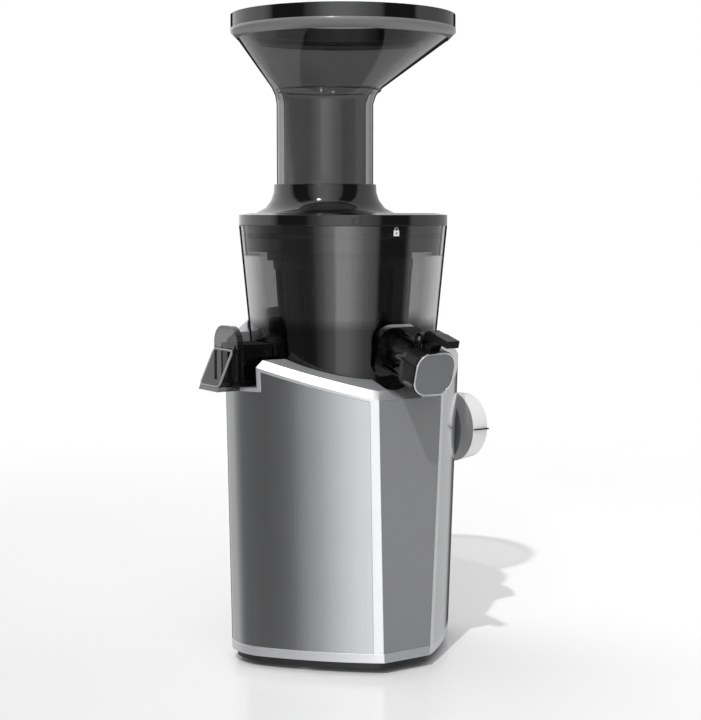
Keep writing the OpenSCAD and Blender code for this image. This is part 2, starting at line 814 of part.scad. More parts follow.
module bowl() color("#3b3d40", 0.55) difference() {
    union() {
        difference() {
            union() {
                bowl_profile(0, seat_z + seat_gap, bowl_top_z);
                spout_frame() {
                    linear_extrude(collar_t) round_rect(collar_w, collar_w, collar_r);
                    translate([0, 0, -bowl_t]) cylinder(d = spout_d, h = flange_at + flange_t + bowl_t);
                    translate([0, 0, flange_at]) linear_extrude(flange_t)
                        round_rect(cap_w - over, cap_h - over, cap_corner_r - over);
                    hinge_ear(hinge_half - ear_t);
                    hinge_ear(-hinge_half);
                }
                chute_block(0, chute_x / 2, chute_x);
            }
            bowl_profile(bowl_t, floor_z, bowl_top_z + over);
            bowl_profile(bowl_t, seat_z - over, floor_z - floor_t);
        }
        translate([0, 0, hub_foot_z]) cylinder(r = hub_r, h = hub_top_z - hub_foot_z);
    }
    cylinder(r = hub_bore_r, h = full_z);
    spout_frame() translate([0, 0, -2 * bowl_t]) cylinder(d = spout_bore, h = far);
    chute_block(-chute_t, bowl_out(floor_z), chute_x + over);
    translate([-chute_x, -duct_half, floor_z])
        cube([chute_x / 2, 2 * duct_half, duct_top_z - floor_z]);
}

sleeve_r = 8.4;
sleeve_up = 6;
sleeve_z = seat_z + sleeve_up;
sleeve_wall = 2.5;
sleeve_gap = 0.12;
seal_h = 3;
module bowl_seal() color("#17181a")
    ring_solid(hub_bore_r, sleeve_r + run_gap, hub_top_z - 2 * seal_h, hub_top_z - seal_h);

hood_t = 4;
hood_w = 30.6;
hood_top_z = 217.6;
hood_foot_z = 182.5;
hood_r = 11;
mouth_half = 12.4;
mouth_top_z = 206.5;
mouth_foot_z = 177.5;
mouth_out = 13;
mouth_t = 2.5;

// A flat shape drawn across the chute and upright, extruded outwards from the chute's mouth
module chute_face(h) {
    translate([-chute_x, 0, 0]) rotate([90, 0, -90]) linear_extrude(h) children();
}

module mouth_side(w, inset) {
    translate([-chute_x - hood_t, w, 0]) rotate([90, 0, 0]) linear_extrude(2 * w) polygon([
        [hood_t, mouth_foot_z + inset], [-mouth_out - inset, mouth_foot_z + inset],
        [-inset, mouth_top_z - inset], [hood_t, mouth_top_z - inset]]);
}

module pulp_hood() color("#8b8d90") difference() {
    union() {
        chute_face(hood_t) {
            translate([-hood_w / 2, hood_foot_z]) square([hood_w, hood_top_z - hood_r - hood_foot_z]);
            translate([-hood_w / 2 + hood_r, hood_foot_z])
                square([hood_w - 2 * hood_r, hood_top_z - hood_foot_z]);
            for (s = [-1, 1]) translate([s * (hood_w / 2 - hood_r), hood_top_z - hood_r]) circle(hood_r);
        }
        difference() {
            mouth_side(mouth_half, 0);
            translate([-chute_x, -far, 0]) cube([far, 2 * far, full_z]);
        }
    }
    difference() {
        mouth_side(mouth_half - mouth_t, mouth_t);
        translate([-chute_x - hood_t, -far, 0])
            cube([far, 2 * far, chute_z + chute_t]);
    }
    translate([-chute_x - hood_t - over, -duct_half, chute_z + chute_t])
        cube([hood_t + 2 * over, 2 * duct_half, duct_top_z - chute_z - chute_t]);
    // Room for the notch's ledge
    translate([-side_half(notch_z) - lift_gap, -far, 0]) cube([far, 2 * far, notch_z + seat_gap]);
}

module hinge_pin() color("#cfd1d3") spout_frame() translate([-hinge_half, hinge_up, hinge_at])
    rotate([0, 90, 0]) cylinder(r = hinge_pin_r, h = 2 * hinge_half, $fn = 32);

// STRAINER AND AUGER

strainer_h = 69;
strainer_wall = 2.2;
sheet_t = 0.6;
strainer_foot = 11;
strainer_top = 6;
ribs = 12;
rib_w = 4;
slits = 36;
slit_w = 1.2;
slit_rows = 3;
slit_h = 14;
slit_pitch = 17;
slit_at = 13;

// The strainer's cone, drawn in by i, between heights z0 and z1 above the bowl's floor
module strainer_cone(i, z0, z1) {
    translate([0, 0, floor_z + z0]) cylinder(
        r1 = mix(strainer_r_base, strainer_r_top, z0 / strainer_h) - i,
        r2 = mix(strainer_r_base, strainer_r_top, z1 / strainer_h) - i, h = z1 - z0, $fn = 72);
}

module strainer_frame() color("#2a2c2e") difference() {
    union() {
        strainer_cone(0, 0, strainer_h);
        intersection() {
            translate([-chute_x, -duct_half - chute_t, floor_z])
                cube([chute_x, 2 * (duct_half + chute_t), duct_top_z - floor_z + chute_t]);
            bowl_profile(bowl_t + fit_gap, floor_z, bowl_top_z);
        }
    }
    strainer_cone(strainer_wall - sheet_t, -over, strainer_h + over);
    difference() {
        strainer_cone(-over, strainer_foot + over, strainer_h - strainer_top);
        for (k = [0:ribs / 2 - 1]) rotate(k * 360 / ribs + 180 / ribs)
            translate([-far / 2, -rib_w / 2, floor_z]) cube([far, rib_w, strainer_h]);
        translate([-chute_x, -duct_half - chute_t, 0])
            cube([chute_x - strainer_r_base / 2, 2 * (duct_half + chute_t), duct_top_z + chute_t]);
    }
    translate([-chute_x, -duct_half, floor_z - over])
        cube([chute_x - strainer_r_base / 2, 2 * duct_half, duct_top_z - floor_z + over]);
}

module strainer_mesh() color("#a9abad") difference() {
    strainer_cone(strainer_wall - sheet_t, 0, strainer_h);
    strainer_cone(strainer_wall, -over, strainer_h + over);
    for (k = [0:slits / 2 - 1], row = [0:slit_rows - 1]) rotate(k * 360 / slits)
        translate([-far / 2, -slit_w / 2, floor_z + slit_at + row * slit_pitch])
            cube([far, slit_w, slit_h]);
    translate([-chute_x, -duct_half, floor_z - over])
        cube([chute_x - strainer_r_base / 2, 2 * duct_half, duct_top_z - floor_z + over]);
}

auger_gap = 0.8;
auger_z = floor_z + auger_gap;
auger_foot_r = 21;
auger_foot_h = 14;
auger_neck_r = 12;
auger_top_z = 257;
auger_tip_z = 264;
auger_pin_r = 5;
auger_pin_z = 274;
flight_gap = 0.8;
flight_foot_r = strainer_r_base - strainer_wall - flight_gap;
flight_top_r = strainer_r_top - strainer_wall - flight_gap;
flight_root_w = 9;
flight_tip_w = 4;

module auger() color("#232527") difference() {
    union() {
        translate([0, 0, auger_z]) cylinder(r = auger_foot_r, h = auger_foot_h);
        translate([0, 0, auger_z + auger_foot_h])
            cylinder(r1 = auger_foot_r, r2 = auger_neck_r, h = auger_top_z - auger_z - auger_foot_h);
        translate([0, 0, auger_top_z])
            cylinder(r1 = auger_neck_r, r2 = auger_pin_r, h = auger_tip_z - auger_top_z);
        translate([0, 0, auger_tip_z]) cylinder(r = auger_pin_r, h = auger_pin_z - auger_tip_z);
        translate([0, 0, auger_z]) linear_extrude(auger_top_z - auger_z, twist = flight_turn,
            scale = flight_top_r / flight_foot_r, slices = 30) intersection() {
                for (k = [0:flights - 1]) rotate(k * 360 / flights)
                    polygon([[0, -flight_root_w / 2], [flight_foot_r + over, -flight_tip_w / 2],
                        [flight_foot_r + over, flight_tip_w / 2], [0, flight_root_w / 2]]);
                circle(flight_foot_r);
            }
    }
    translate([0, 0, auger_z - over])
        cylinder(r = hub_r + run_gap, h = hub_top_z + over + run_gap + over - auger_z);
    translate([0, 0, auger_z]) cylinder(r = sleeve_r, h = hex_top_z + sleeve_wall - auger_z);
}

module hex_sleeve() color("#c9cbcd") difference() {
    translate([0, 0, sleeve_z]) cylinder(r = sleeve_r, h = hex_top_z + sleeve_wall - sleeve_z);
    translate([0, 0, sleeve_z - over])
        cylinder(r = hex_r + sleeve_gap, h = hex_top_z + seat_gap + over - sleeve_z, $fn = 6);
}

// LID AND HOPPER

lid_z = bowl_top_z + seat_gap;
lid_top_z = bowl_top_z + band_h;
lid_roof_t = 3;
lid_roof_z = lid_top_z - lid_roof_t;
dome_h = 1.2;
dome_r = 60;
skirt_r = bowl_out(bowl_top_z - skirt_h) - bowl_t - lift_gap;
skirt_t = 2.5;
lug_h = 5;
lug_w = 16;
lug_angles = [75, 195, 315];
boss_r = 10;
bush_r = 8;
bush_z = 266;
bush_h = 10;
socket_z = 298;
web_t = 5;
seal_groove = 1;
lid_seal_z = 272;
lid_seal_h = 3;
// The collar's flare: share of the way from the tube to the widest place, share of its height
flare_shares = [[1, 0], [0.55, 0.18], [0.28, 0.45], [0.16, 0.72], [0.14, 1]];
flare_w = 14;

module at_tube() translate([0, tube_y, 0]) children();

module lid() color("#1b1d1f") difference() {
    union() {
        translate([0, 0, lid_z]) cylinder(r = bowl_r, h = lid_top_z - lid_z, $fn = 96);
        translate([0, 0, lid_top_z]) cylinder(r1 = bowl_r - over, r2 = dome_r, h = dome_h, $fn = 96);
        translate([0, 0, bowl_top_z - skirt_h])
            cylinder(r = skirt_r, h = skirt_h + over, $fn = 96);
        for (a = lug_angles) rotate(a) intersection() {
            translate([0, 0, bowl_top_z - skirt_h - lug_h])
                cylinder(r = skirt_r - lift_gap, h = lug_h + over);
            translate([0, -lug_w / 2, 0]) cube([far, lug_w, far]);
        }
        intersection() {
            at_tube() rotate_extrude() polygon(concat([[0, lid_roof_z]],
                [for (s = flare_shares)
                    [tube_r + s[0] * flare_w, mix(lid_top_z + dome_h, collar_z, s[1])]],
                [[0, collar_z]]));
            translate([0, 0, lid_z]) cylinder(r = bowl_r - over, h = far, $fn = 96);
        }
    }
    difference() {
        translate([0, 0, bowl_top_z - skirt_h - lug_h - over])
            cylinder(r = skirt_r - skirt_t, h = lid_roof_z - bowl_top_z + skirt_h + lug_h + over, $fn = 96);
        translate([0, 0, bush_z]) cylinder(r = boss_r, h = far);
        translate([-web_t / 2, -bowl_r, bush_z]) cube([web_t, bowl_r, far]);
    }
    difference() {
        at_tube() cylinder(r = tube_bore_r, h = far, $fn = 72);
        cylinder(r = boss_r, h = lid_roof_z + band_h);
    }
    at_tube() translate([0, 0, socket_z]) cylinder(r = tube_r + lift_gap, h = far, $fn = 72);
    translate([0, 0, bush_z - over]) cylinder(r = bush_r, h = bush_h + over);
    ring_solid(bowl_r, skirt_r - seal_groove, lid_seal_z, lid_seal_z + lid_seal_h);
}

module lid_seal() color("#3a3c3e") ring_solid(skirt_r + fit_gap, skirt_r - seal_groove,
    lid_seal_z, lid_seal_z + lid_seal_h);

module auger_bush() color("#d9d5c8") ring_solid(bush_r, auger_pin_r + shaft_gap, bush_z, bush_z + bush_h);

hopper_t = 2.6;
rim_bevel_h = 4;
funnel_z = rim_z - rim_h - rim_bevel_h;
rim_step = 4.4;
funnel_r = rim_r - rim_step;
throat_drop = 2;
// The funnel from its throat up: share of the height, share of the widening
throat_shares = [[0, 0], [0.14, 0.04], [0.26, 0.13], [1, 1]];
ring_steps = 96;
// First point of each ring, off the axes so that the rings close cleanly
ring_start = -88;

function circle_ring(r, cy) = [for (k = [0:ring_steps - 1])
    polar([0, cy], r, ring_start + 360 * k / ring_steps)];

// Tube, skew funnel and rim in one, drawn in by i, with the tube's radius r, from z0 to z1
module hopper_solid(i, r, z0, z1) {
    tower(concat(
        [circle_ring(r, tube_y)],
        [for (s = throat_shares) circle_ring(mix(r, funnel_r - i, s[1]), tube_y * (1 - s[1]))],
        [circle_ring(rim_r - i, 0), circle_ring(rim_r - i, 0)]),
        concat([z0], [for (s = throat_shares) mix(throat_z - throat_drop, funnel_z, s[0])],
            [funnel_z + rim_bevel_h, z1]));
}

module hopper() color("#3f4144", 0.6) difference() {
    hopper_solid(0, tube_r, socket_z + seat_gap, rim_z);
    hopper_solid(hopper_t, tube_bore_r, socket_z - over, rim_z + over);
}

// SPOUT CAP

cap_at = flange_at + flange_t + lift_gap;
plate_face_t = 1;
plate_margin = 1;
plug_r = spout_bore / 2 - lift_gap;
plug_h = 6;
cap_seal_t = 1.5;
cap_seal_back = 4;
cap_seal_at = flange_at + flange_t - cap_seal_back;
lever_w = 7.4;
tab_w = 9;
tab_up = 25.4;
tab_low = 21;
tab_out = 56.5;
tab_in = 36;
knuckle_gap = 0.1;

module cap_shell() color("#141516") spout_frame() difference() {
    union() {
        translate([0, 0, cap_at]) linear_extrude(spout_len - plate_face_t - cap_at)
            round_rect(cap_w, cap_h, cap_corner_r);
        translate([0, 0, cap_at - plug_h]) cylinder(r = plug_r, h = plug_h + over);
        spout_side(-lever_w / 2, lever_w) {
            translate([hinge_up, hinge_at]) circle(knuckle_r);
            polygon([[cap_h / 2 - over, cap_at], [cap_h / 2 - over, tab_in + knuckle_r],
                [tab_low, tab_in + 2 * knuckle_r], [tab_low, tab_out - 2 * knuckle_r],
                [tab_up, tab_out - 2 * knuckle_r], [tab_up, tab_in], [hinge_up + knuckle_r, cap_at]]);
        }
        spout_side(-tab_w / 2, tab_w) translate([tab_low, tab_in + 2 * knuckle_r])
            square([tab_up - tab_low, tab_out - tab_in - 2 * knuckle_r]);
    }
    spout_side(-far / 2, far) translate([hinge_up, hinge_at])
        circle(hinge_pin_r + knuckle_gap, $fn = 32);
    translate([0, 0, cap_seal_at]) difference() {
        cylinder(r = spout_d, h = cap_seal_t);
        translate([0, 0, -over]) cylinder(r = plug_r - seal_groove, h = cap_seal_t + 2 * over);
    }
}

module cap_seal() color("#5a5c5e") spout_frame()
    ring_solid(plug_r, plug_r - seal_groove, cap_seal_at, cap_seal_at + cap_seal_t);

module cap_plate() color("#b4b6b8") spout_frame()
    translate([0, 0, spout_len - plate_face_t]) linear_extrude(plate_face_t)
        round_rect(cap_w - 2 * plate_margin, cap_h - 2 * plate_margin, cap_corner_r - plate_margin);

// KNOB

knob_gap = 1.2;
knob_at = dish_x + knob_gap;
knob_step_x = 90;
knob_edge = 2;
module knob_base() color("#6f7173") difference() {
    along_knob(knob_at) cylinder(r1 = knob_r, r2 = knob_r - over, h = knob_step_x - knob_at, $fn = 96);
    along_knob(0) cylinder(r = knob_shaft_r, h = far);
}

module knob_ring() color("#d6d8da") difference() {
    union() {
        along_knob(knob_step_x)
            cylinder(r1 = knob_r - over, r2 = knob_tip_r + knob_edge, h = knob_x - knob_edge - knob_step_x, $fn = 96);
        along_knob(knob_x - knob_edge)
            cylinder(r1 = knob_tip_r + knob_edge, r2 = knob_tip_r, h = knob_edge, $fn = 96);
    }
    along_knob(0) cylinder(r = knob_shaft_r, h = knob_x - knob_edge);
}

module knob_shaft() color("#9fa1a3") along_knob(switch_x + knob_edge)
    cylinder(r = knob_shaft_r, h = knob_x - knob_edge - switch_x - knob_edge);

base_plate();
feet();
plinth_band();
housing();
front_panel();
left_panel();
right_panel();
rear_cover();
cord_gland();
knob_bezel();
gear_case();
gear_cover();
motor_frame();
stator();
field_coils();
motor_bearings();
shaft_bearing();
shaft_seal();
control_board();
selector_switch();
base_screws();
gearbox_screws();
idler_axle();
rotor();
motor_shaft();
motor_pinion();
cooling_fan();
idler_gear();
output_gear();
drive_shaft();
bowl();
bowl_seal();
pulp_hood();
hinge_pin();
strainer_frame();
strainer_mesh();
auger();
hex_sleeve();
lid();
lid_seal();
auger_bush();
hopper();
cap_shell();
cap_plate();
cap_seal();
knob_base();
knob_ring();
knob_shaft();
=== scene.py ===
# %% [markdown]
# # A cold press juicer
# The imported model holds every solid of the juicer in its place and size. This lesson gives those
# solids their looks: smooth skins, finishes, the small mouldings and marks, a studio and a
# camera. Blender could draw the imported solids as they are, but they come as loose flat triangles
# without a finish, so each one gets a skin that stands for it and moves with the same body.

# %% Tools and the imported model
import bpy, bmesh, json, math
import numpy as np
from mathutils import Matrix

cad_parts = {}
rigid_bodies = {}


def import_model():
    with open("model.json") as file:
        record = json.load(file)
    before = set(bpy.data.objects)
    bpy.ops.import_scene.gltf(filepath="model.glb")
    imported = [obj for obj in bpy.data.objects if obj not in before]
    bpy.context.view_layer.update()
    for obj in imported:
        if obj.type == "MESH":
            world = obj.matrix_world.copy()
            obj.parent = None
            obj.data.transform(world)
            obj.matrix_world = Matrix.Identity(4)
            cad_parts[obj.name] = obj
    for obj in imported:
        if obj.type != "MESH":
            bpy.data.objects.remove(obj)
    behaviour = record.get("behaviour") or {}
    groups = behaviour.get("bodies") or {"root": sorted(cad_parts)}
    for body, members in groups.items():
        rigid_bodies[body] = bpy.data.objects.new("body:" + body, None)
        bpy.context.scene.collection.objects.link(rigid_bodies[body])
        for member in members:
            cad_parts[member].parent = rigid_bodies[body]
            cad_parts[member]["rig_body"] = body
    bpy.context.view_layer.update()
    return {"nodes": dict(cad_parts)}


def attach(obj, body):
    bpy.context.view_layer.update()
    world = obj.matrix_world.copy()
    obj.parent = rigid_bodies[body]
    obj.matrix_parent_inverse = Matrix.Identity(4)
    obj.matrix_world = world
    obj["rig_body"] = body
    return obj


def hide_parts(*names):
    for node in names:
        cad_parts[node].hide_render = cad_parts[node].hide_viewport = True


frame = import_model()
body_of = {node: obj["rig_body"] for node, obj in frame["nodes"].items()}
MM = 0.001
print(f"{len(body_of)} packed nodes on {len(set(body_of.values()))} bodies")

# %% [markdown]
# ## A short way to write shader nodes
# A finish in Blender is a small graph of nodes. Written out, each node takes a line to make, one
# for each of its settings and one for each link. One helper does all three, so a finish can be
# read as a list of what feeds what. The others name what comes back most often: a straight
# change between two values, one sum, and an empty material.

# %% Node helpers
def add_node(tree, kind, inputs=None, **settings):
    """Adds a shader node, makes its settings and then fills its inputs: a socket is linked to
    the input, and anything else becomes the input's value."""
    node = tree.nodes.new("ShaderNode" + kind)
    for name, value in settings.items():
        setattr(node, name, value)
    for name, value in (inputs or {}).items():
        if isinstance(value, bpy.types.NodeSocket):
            tree.links.new(value, node.inputs[name])
        else:
            node.inputs[name].default_value = value
    return node


def ramp(tree, value, start, end, low=0.0, high=1.0):
    """Goes straight from low to high while value goes from start to end, and is level outside."""
    inputs = {"Value": value, "From Min": start, "From Max": end, "To Min": low, "To Max": high}
    return add_node(tree, "MapRange", inputs).outputs["Result"]


def calc(tree, operation, a, b):
    """One sum of two numbers or sockets, such as MULTIPLY or POWER."""
    return add_node(tree, "Math", {0: a, 1: b}, operation=operation).outputs[0]


def new_material(name):
    """A material with an empty node tree: the material, its tree and its output node."""
    mat = bpy.data.materials.new(name)
    mat.use_nodes = True
    mat.node_tree.nodes.clear()
    return mat, mat.node_tree, add_node(mat.node_tree, "OutputMaterial")


print("helpers:", *(f.__name__ for f in (add_node, ramp, calc, new_material)))

# %% [markdown]
# ## Clouds and specks
# No real surface is one flat colour. Paint and plastic are a little cloudy over a couple of
# centimetres, and their gloss changes from speck to speck. A picture of a surface could carry
# that, but soft noise does it in any size, on any shape, without a seam and without a file.

# %% Soft noise
CLOUDS_PER_METRE, SPECKS_PER_METRE = 45.0, 1800.0
SOFT_LAYERS, GRAIN_LAYERS = 2.0, 3.0


def noise(tree, where, scale, layers):
    """Soft noise at the points that a socket gives: lumps per metre, and layers of finer ones."""
    inputs = {"Vector": where, "Scale": scale, "Detail": layers}
    return add_node(tree, "TexNoise", inputs).outputs["Fac"]


print(f"clouds {100 / CLOUDS_PER_METRE:.1f} cm wide, specks {1 / SPECKS_PER_METRE / MM:.1f} mm")

# %% [markdown]
# ## Paint, metal, rubber and moulded plastic
# A moulding or a pressed sheet has no knife-sharp edges. They could be rounded in every mesh, but
# the Bevel node does it while rendering: near an edge it blends the directions of the two faces,
# and the edge catches the light. Brushed, stacked and wound metal also has a grain. That is noise
# which is squeezed in some directions and stretched in others, so its lumps become hairlines.

# %% Helper for solid finishes
CLOUD_SPAN, SPECK_SPAN = 0.03, 0.1
NOISE_LOW, NOISE_HIGH = 0.3, 0.7
GRAIN_DEPTH = 0.2 * MM
BEVEL_SAMPLES = 4


def solid(name, color, rough, metal=0.0, edge=0.5, grain=None, spec=0.5):
    """A finish that light doesn't pass. Colour and roughness each vary with noise by a share of
    their own value, and edges are rounded by edge millimetres. grain = (lumps per metre along
    x, y and z, strength)."""
    mat, tree, out = new_material(name)
    where = add_node(tree, "TexCoord").outputs["Object"]
    darker, lighter = ((*(c * (1 + side * CLOUD_SPAN) for c in color), 1) for side in (-1, 1))
    tone = add_node(tree, "Mix", {
        "Factor": noise(tree, where, CLOUDS_PER_METRE, SOFT_LAYERS),
        "A": darker, "B": lighter}, data_type="RGBA")
    worn = ramp(tree, noise(tree, where, SPECKS_PER_METRE, SOFT_LAYERS), NOISE_LOW, NOISE_HIGH,
                rough * (1 - SPECK_SPAN), rough * (1 + SPECK_SPAN))
    bsdf = add_node(tree, "BsdfPrincipled", {
        "Base Color": tone.outputs["Result"], "Roughness": worn, "Metallic": metal,
        "Specular IOR Level": spec})
    normal = None
    if edge:
        bevel = add_node(tree, "Bevel", {"Radius": edge * MM}, samples=BEVEL_SAMPLES)
        normal = bevel.outputs["Normal"]
    if grain:
        stretched = add_node(tree, "Mapping", {"Vector": where, "Scale": grain[0]})
        hairs = noise(tree, stretched.outputs["Vector"], 1.0, GRAIN_LAYERS)
        bump = add_node(tree, "Bump", {"Strength": grain[1], "Distance": GRAIN_DEPTH,
                                       "Height": hairs})
        if edge:
            tree.links.new(normal, bump.inputs["Normal"])
        normal = bump.outputs["Normal"]
    if normal:
        tree.links.new(normal, bsdf.inputs["Normal"])
    tree.links.new(bsdf.outputs["BSDF"], out.inputs["Surface"])
    return mat


print(f"colour varies by {CLOUD_SPAN:.0%} and roughness by {SPECK_SPAN:.0%} either way")

# %% [markdown]
# ## The solid finishes of this machine
# The housing is painted silver, so it is metal with a soft gloss. Its side sheets are bare
# brushed steel with an upright grain, and the coils and the stacked iron have grains of their
# own. Finer finishes could be layered, such as a clear coat over paint, but from a metre away
# colour, roughness and metal tell them apart, and three numbers are easy to tune to a photo.

# %% Solid finishes
BRUSHED_UPRIGHT = ((900, 900, 12), 0.05)
STACKED_SHEETS = ((10, 10, 2000), 0.5)
WOUND_WIRE = ((1500, 1500, 300), 0.6)

silver = solid("silver", (0.80, 0.81, 0.82), 0.34, metal=0.75, edge=0.7)
steel = solid("steel", (0.66, 0.67, 0.68), 0.14, metal=1.0, edge=0, grain=BRUSHED_UPRIGHT)
panel_grey = solid("panel_grey", (0.245, 0.248, 0.252), 0.42, edge=0.4)
dark = solid("dark", (0.022, 0.023, 0.025), 0.45)
black = solid("black", (0.004, 0.004, 0.0042), 0.07, edge=0.8, spec=0.9)
rubber = solid("rubber", (0.02, 0.02, 0.02), 0.75)
chrome = solid("chrome", (0.86, 0.87, 0.88), 0.08, metal=1.0, edge=0.6)
# painted reflection: the knob's ring is chrome, and this near-white, mostly non-metal colour
# stands in for the bright studio mirrored in it
ring_white_painted_reflection = solid("ring_white_painted_reflection", (0.92, 0.92, 0.92), 0.3, metal=0.25, edge=0.6)
knob_grey = solid("knob_grey", (0.19, 0.193, 0.197), 0.5, edge=0.4)
plate_grey = solid("plate_grey", (0.30, 0.305, 0.31), 0.32, metal=0.85, edge=0.4)
bright = solid("bright", (0.7, 0.71, 0.72), 0.25, metal=1.0)
cast = solid("cast", (0.4, 0.41, 0.42), 0.55, metal=0.7)
iron = solid("iron", (0.3, 0.3, 0.31), 0.5, metal=0.6, grain=STACKED_SHEETS)
copper = solid("copper", (0.55, 0.22, 0.08), 0.35, metal=0.9, grain=WOUND_WIRE)
nylon = solid("nylon", (0.72, 0.69, 0.6), 0.45)
blue = solid("blue", (0.08, 0.2, 0.32), 0.45)
green = solid("green", (0.03, 0.16, 0.06), 0.4)
sheet_steel = solid("sheet_steel", (0.02, 0.02, 0.021), 0.45, metal=0.2)
cap_black = solid("cap_black", (0.006, 0.006, 0.0063), 0.2, edge=0.8, spec=0.25)
print(len(bpy.data.materials), "materials in the file")

# %% [markdown]
# ## Smoke-tinted plastic
# The bowl and the hopper are clear plastic with a grey tint. A glass shader would bend the light
# through both faces of each wall, which is slow to render and noisy in walls this thin. Here a
# face lets part of the light straight through and mirrors the rest. The share that it mirrors
# starts from a value that hangs on the plastic's refractive index alone, and it grows as the
# face turns away from the eye, as on real plastic.

# %% Head-on mirror
def head_on_mirror(ior):
    """The share of light that a face mirrors when it is seen head on: the refractive index less
    one, over the index plus one, squared."""
    return ((ior - 1) / (ior + 1)) ** 2


print("head-on mirror of indexes 1.45, 1.6 and 1.8:",
      *(round(head_on_mirror(ior), 3) for ior in (1.45, 1.6, 1.8)))

# %% [markdown]
# ## Milky sides and a dark outline
# Bent light does two more things that the eye expects. Towards the sides of a round wall the
# plastic looks milky, and its very last outline is a dark line. The line could be a mesh, but
# then it would stay behind when the view turns. Both effects hang on how far the wall turns
# away, so here the same number, Facing, draws them and the mirror.

# %% Helper for smoke finishes
TURNED_EVENLY = 0.5
MIRROR_POWER = 5.0
SMOKE_ROUGH = 0.03
OUTLINE = (0.78, 0.82)
OUTLINE_GREY = 0.02


def smoke(name, tint, ior, dense=None, milky=None, bare=None):
    """A tinted see-through plastic. Its mirror share grows with the fifth power of how far a face
    turns away, from the head-on share to one. dense = (from, to, tint, ior): heights in mm over
    which tint and index become others. milky = (from, to, grey): between those shares of turning
    away a wall comes to scatter light as a grey, outside its dense part, and after them it ends
    in a dark outline without a mirror. bare = (from, to): heights in mm where the milk stops."""
    mat, tree, out = new_material(name)
    facing = add_node(tree, "LayerWeight", {"Blend": TURNED_EVENLY}).outputs["Facing"]
    if dense or bare:
        place = add_node(tree, "TexCoord").outputs["Object"]
        height = add_node(tree, "SeparateXYZ", {0: place}).outputs["Z"]
    colour, least, thin = (tint, tint, tint, 1), head_on_mirror(ior), 1.0
    if dense:
        band = dense[0] * MM, dense[1] * MM
        colour = ramp(tree, height, *band, tint, dense[2])
        least = ramp(tree, height, *band, least, head_on_mirror(dense[3]))
        thin = ramp(tree, height, *band, 1.0, 0.0)
    mirror = ramp(tree, calc(tree, "POWER", facing, MIRROR_POWER), 0.0, 1.0, least, 1.0)
    wall = add_node(tree, "BsdfTransparent", {"Color": colour})
    if milky:
        share = calc(tree, "MULTIPLY", ramp(tree, facing, milky[0], milky[1]), thin)
        if bare:
            below = ramp(tree, height, bare[0] * MM, bare[1] * MM, 1.0, 0.0)
            share = calc(tree, "MULTIPLY", share, below)
        line = ramp(tree, facing, *OUTLINE)
        grey = ramp(tree, facing, *OUTLINE, milky[2], OUTLINE_GREY)
        milk = add_node(tree, "BsdfDiffuse", {"Color": grey})
        wall = add_node(tree, "MixShader", {0: calc(tree, "MAXIMUM", share, line),
                                            1: wall.outputs[0], 2: milk.outputs[0]})
        mirror = calc(tree, "MULTIPLY", mirror, calc(tree, "SUBTRACT", 1.0, line))
    gloss = add_node(tree, "BsdfGlossy", {"Roughness": SMOKE_ROUGH, "Color": (1, 1, 1, 1)})
    face = add_node(tree, "MixShader", {0: mirror, 1: wall.outputs[0], 2: gloss.outputs[0]})
    tree.links.new(face.outputs[0], out.inputs["Surface"])
    return mat


print("a smoke wall ends in its outline where Facing goes from", *OUTLINE)

# %% [markdown]
# ## Bowl, hopper and hood
# The bowl is darker at its foot, where the spout and its collar are thick, and the hopper is
# almost black at its rim. Each could be cut into two pieces with a finish of their own, but that
# would leave a seam in a clear wall. Instead each goes over to a denser plastic within a band of
# heights. Above the strainer the bowl stays clear of milk, since the lid's skirt shows there.

# %% Smoke finishes
smoke_bowl = smoke("smoke_bowl", tint=0.66, ior=1.8, dense=(222, 215, 0.3, 1.6),
                   milky=(0.38, 0.78, 0.75), bare=(260.5, 261.5))
smoke_hopper = smoke("smoke_hopper", tint=0.49, ior=1.45, dense=(406.2, 406.8, 0.05, 1.85),
                     milky=(0.55, 0.78, 0.3))
smoke_dark = smoke("smoke_dark", tint=0.38, ior=1.6)
print("nodes in each smoke finish:",
      *(len(mat.node_tree.nodes) for mat in (smoke_bowl, smoke_hopper, smoke_dark)))

# %% [markdown]
# ## Which piece wears which finish
# A maker calls such a list a finish schedule. It could be read from the material slots of the
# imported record, but one slot can cover pieces that look different: the lid's gloss black and the
# cap's softer black are the same plastic from two moulds. So each node is listed by name.

# %% Finish schedule
LOOK = {
    "base_plate": dark, "feet": rubber, "plinth_band": silver, "housing": silver,
    "front_panel": panel_grey, "left_panel": steel, "right_panel": steel, "rear_cover": dark,
    "cord_gland": rubber, "knob_bezel": silver, "gear_case": dark, "gear_cover": dark,
    "motor_frame": cast, "stator": iron, "field_coils": copper, "motor_bearings": bright,
    "shaft_bearing": bright, "shaft_seal": rubber, "control_board": green,
    "selector_switch": dark, "base_screws": bright, "gearbox_screws": bright,
    "idler_axle": bright, "rotor": iron, "motor_shaft": bright, "motor_pinion": bright,
    "cooling_fan": blue, "idler_gear": nylon, "output_gear": nylon, "drive_shaft": bright,
    "bowl": smoke_bowl, "bowl_seal": rubber, "pulp_hood": smoke_dark, "hinge_pin": bright,
    "strainer_frame": dark, "strainer_mesh": sheet_steel, "auger": black, "hex_sleeve": bright,
    "lid": black, "lid_seal": rubber, "auger_bush": nylon, "hopper": smoke_hopper,
    "cap_shell": cap_black, "cap_plate": plate_grey, "cap_seal": rubber, "knob_base": knob_grey,
    "knob_ring": ring_white_painted_reflection, "knob_shaft": bright,
}
print(len(LOOK), "nodes listed; same nodes as in the pack:", set(LOOK) == set(body_of))

# %% [markdown]
# ## Brushed steel that curves evenly
# The two steel sides are bowed sheets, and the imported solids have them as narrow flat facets. A
# mirror shows every facet as a stripe. More facets would help a little, but what the eye reads
# is the direction that each corner faces. So every corner gets the mean direction of the faces
# around it, near ones counting most. Faces past a fold are left out of the mean, so that the
# folds stay crisp.

# %% Helper for even shading
STEEL_REACH = 7 * MM
FOLD = math.radians(30)


